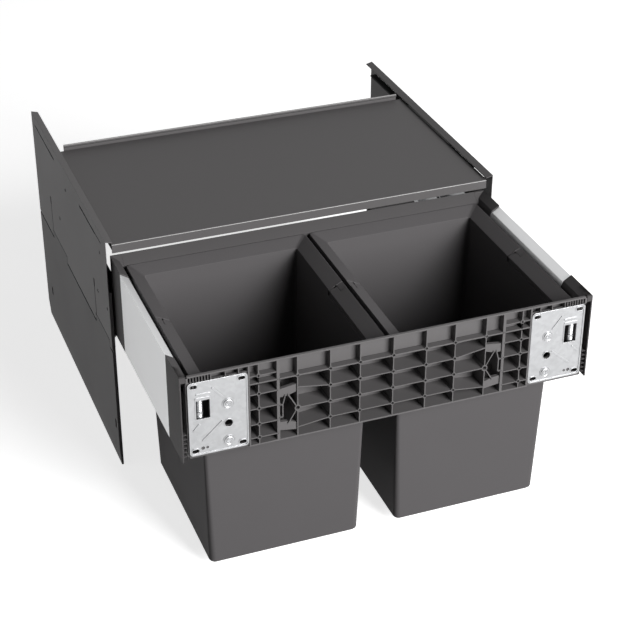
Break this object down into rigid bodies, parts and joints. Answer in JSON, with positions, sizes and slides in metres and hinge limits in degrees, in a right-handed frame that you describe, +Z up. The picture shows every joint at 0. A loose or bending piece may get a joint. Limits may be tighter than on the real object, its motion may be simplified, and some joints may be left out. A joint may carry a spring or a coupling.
{
  "type": "pull-out trash cabinet insert",
  "caption": "Pull-out waste unit for a kitchen base cabinet: bins in a ribbed frame on ball runners, under a steel shelf between side panels.",
  "frame": {"origin": "middle of the width, at the front edge and the foot of the side panels", "axes": "+X to the viewer's right from the front, +Y from the front to the back of the cabinet, +Z up"},
  "size_m": [0.562, 0.7544, 0.3604],
  "materials": {
    "panel_steel": "satin",
    "dark_plastic": "matte",
    "bin_plastic": "matte",
    "silver_steel": "satin",
    "zinc": "satin",
    "runner_steel": "satin"
  },
  "bodies": {
    "cabinet": {"upper_side_panel_right": "panel_steel", "lower_side_panel_right": "dark_plastic", "cabinet_rail_right": "runner_steel", "runner_outer_channel_right": "runner_steel", "rail_screw_front_right": "zinc", "rail_screw_rear_right": "zinc", "upper_side_panel_left": "panel_steel", "lower_side_panel_left": "dark_plastic", "cabinet_rail_left": "runner_steel", "runner_outer_channel_left": "runner_steel", "rail_screw_front_left": "zinc", "rail_screw_rear_left": "zinc", "shelf": "panel_steel"},
    "bin_frame": {"front_rail": "dark_plastic", "rear_rail": "dark_plastic", "runner_inner_channel_right": "runner_steel", "drawer_side_right": "silver_steel", "front_cap_right": "dark_plastic", "rear_cap_right": "dark_plastic", "front_bracket_right": "zinc", "bracket_screw_lower_right": "zinc", "bracket_screw_upper_right": "zinc", "runner_inner_channel_left": "runner_steel", "drawer_side_left": "silver_steel", "front_cap_left": "dark_plastic", "rear_cap_left": "dark_plastic", "front_bracket_left": "zinc", "bracket_screw_lower_left": "zinc", "bracket_screw_upper_left": "zinc"},
    "middle_channel_right": {"runner_middle_channel_right": "runner_steel"},
    "outer_cage_right": {"ball_cage_outer_right": "runner_steel"},
    "inner_cage_right": {"ball_cage_inner_right": "runner_steel"},
    "bin_right": {"bin_right": "bin_plastic"},
    "bail_right": {"bail_right": "bin_plastic"},
    "adjusting_screw_right": {"adjusting_screw_right": "zinc"},
    "middle_channel_left": {"runner_middle_channel_left": "runner_steel"},
    "outer_cage_left": {"ball_cage_outer_left": "runner_steel"},
    "inner_cage_left": {"ball_cage_inner_left": "runner_steel"},
    "bin_left": {"bin_left": "bin_plastic"},
    "bail_left": {"bail_left": "bin_plastic"},
    "adjusting_screw_left": {"adjusting_screw_left": "zinc"}
  },
  "joints": [
    {"name": "frame_slide", "type": "slide", "parent": "cabinet", "child": "bin_frame", "axis": [0, -1, 0], "range_m": [-0.3065, 0]},
    {"name": "middle_channel_right_slide", "type": "slide", "parent": "cabinet", "child": "middle_channel_right", "axis": [0, -1, 0], "range_m": [-0.15325, 0]},
    {"name": "outer_cage_right_slide", "type": "slide", "parent": "cabinet", "child": "outer_cage_right", "axis": [0, -1, 0], "range_m": [-0.07662, 0]},
    {"name": "inner_cage_right_slide", "type": "slide", "parent": "cabinet", "child": "inner_cage_right", "axis": [0, -1, 0], "range_m": [-0.22987, 0]},
    {"name": "middle_channel_left_slide", "type": "slide", "parent": "cabinet", "child": "middle_channel_left", "axis": [0, -1, 0], "range_m": [-0.15325, 0]},
    {"name": "outer_cage_left_slide", "type": "slide", "parent": "cabinet", "child": "outer_cage_left", "axis": [0, -1, 0], "range_m": [-0.07662, 0]},
    {"name": "inner_cage_left_slide", "type": "slide", "parent": "cabinet", "child": "inner_cage_left", "axis": [0, -1, 0], "range_m": [-0.22987, 0]},
    {"name": "bin_right_lift", "type": "slide", "parent": "bin_frame", "child": "bin_right", "axis": [0, 0, 1], "range_m": [0, 0.33]},
    {"name": "bail_right_hinge", "type": "hinge", "parent": "bin_right", "child": "bail_right", "pos_m": [0.12915, -0.14665, 0.311], "axis": [-1, 0, 0], "range_deg": [0, 90]},
    {"name": "adjusting_screw_right_turn", "type": "hinge", "parent": "bin_frame", "child": "adjusting_screw_right", "pos_m": [0.2481, -0.2995, 0.2816], "axis": [0, 0, 1], "continuous": true},
    {"name": "bin_left_lift", "type": "slide", "parent": "bin_frame", "child": "bin_left", "axis": [0, 0, 1], "range_m": [0, 0.33]},
    {"name": "bail_left_hinge", "type": "hinge", "parent": "bin_left", "child": "bail_left", "pos_m": [-0.12915, -0.14665, 0.311], "axis": [-1, 0, 0], "range_deg": [0, 90]},
    {"name": "adjusting_screw_left_turn", "type": "hinge", "parent": "bin_frame", "child": "adjusting_screw_left", "pos_m": [-0.2481, -0.2995, 0.2816], "axis": [0, 0, 1], "continuous": true}
  ],
  "couplings": [
    {"joint": "middle_channel_right_slide", "follows": "frame_slide", "ratio": 0.5},
    {"joint": "outer_cage_right_slide", "follows": "frame_slide", "ratio": 0.25},
    {"joint": "inner_cage_right_slide", "follows": "frame_slide", "ratio": 0.75},
    {"joint": "middle_channel_left_slide", "follows": "frame_slide", "ratio": 0.5},
    {"joint": "outer_cage_left_slide", "follows": "frame_slide", "ratio": 0.25},
    {"joint": "inner_cage_left_slide", "follows": "frame_slide", "ratio": 0.75}
  ]
}
